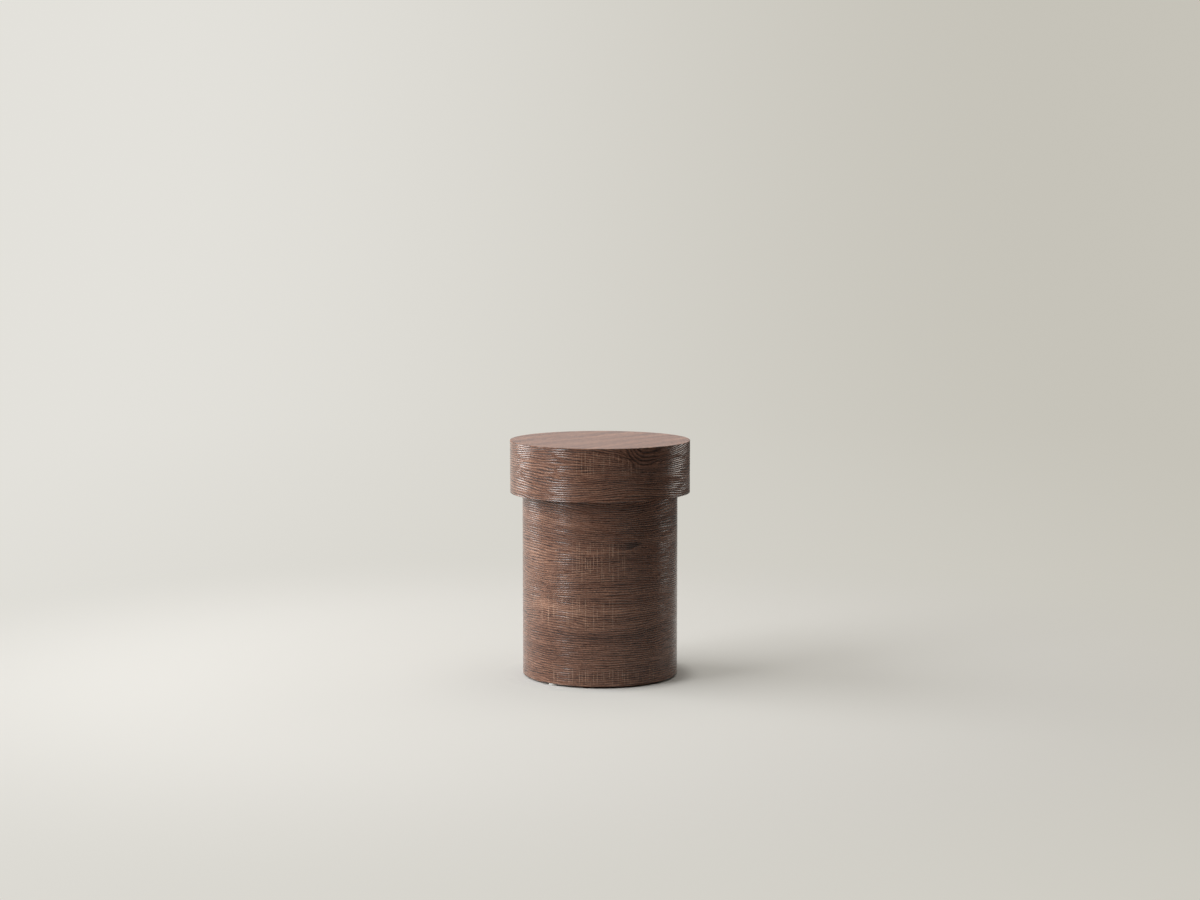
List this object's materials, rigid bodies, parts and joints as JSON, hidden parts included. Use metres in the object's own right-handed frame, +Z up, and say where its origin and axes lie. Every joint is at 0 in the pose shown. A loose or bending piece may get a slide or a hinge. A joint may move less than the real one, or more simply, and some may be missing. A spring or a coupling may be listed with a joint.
{
  "type": "drum side table",
  "caption": "Round side table: a wide shallow drum fixed on a narrower drum, dark wood-look wrap over bent plywood and MDF formers, standing on low glides.",
  "frame": {"origin": "on the floor, under the middle of the table", "axes": "+Z up along the drum's axis; the front, as pictured, is towards -Y and +X is to the right seen from there"},
  "size_m": [0.38, 0.38, 0.5],
  "materials": {
    "wood_laminate": "embossed rough-sawn wood-look, satin",
    "mdf": "raw board",
    "bending_plywood": "raw veneer",
    "screw_steel": "yellow zinc plated",
    "nail_steel": "bright zinc plated",
    "glide_plastic": "matte moulded"
  },
  "bodies": {
    "root": {"top_face": "wood_laminate", "top_panel": "mdf", "cap_inner_ply": "bending_plywood", "cap_outer_ply": "bending_plywood", "cap_wrap": "wood_laminate", "cap_strut_1": "mdf", "cap_strut_2": "mdf", "cap_strut_3": "mdf", "cap_strut_4": "mdf", "cap_base_panel": "mdf", "cap_underface": "wood_laminate", "cap_screws": "screw_steel", "drum_inner_ply": "bending_plywood", "drum_outer_ply": "bending_plywood", "drum_wrap": "wood_laminate", "drum_top_former": "mdf", "drum_middle_former": "mdf", "drum_bottom_former": "mdf", "drum_strut_1": "mdf", "drum_strut_2": "mdf", "drum_strut_3": "mdf", "drum_strut_4": "mdf", "bottom_panel": "mdf", "bottom_screws": "screw_steel", "glide_1": "glide_plastic", "glide_2": "glide_plastic", "glide_3": "glide_plastic", "glide_nails": "nail_steel"}
  },
  "joints": []
}
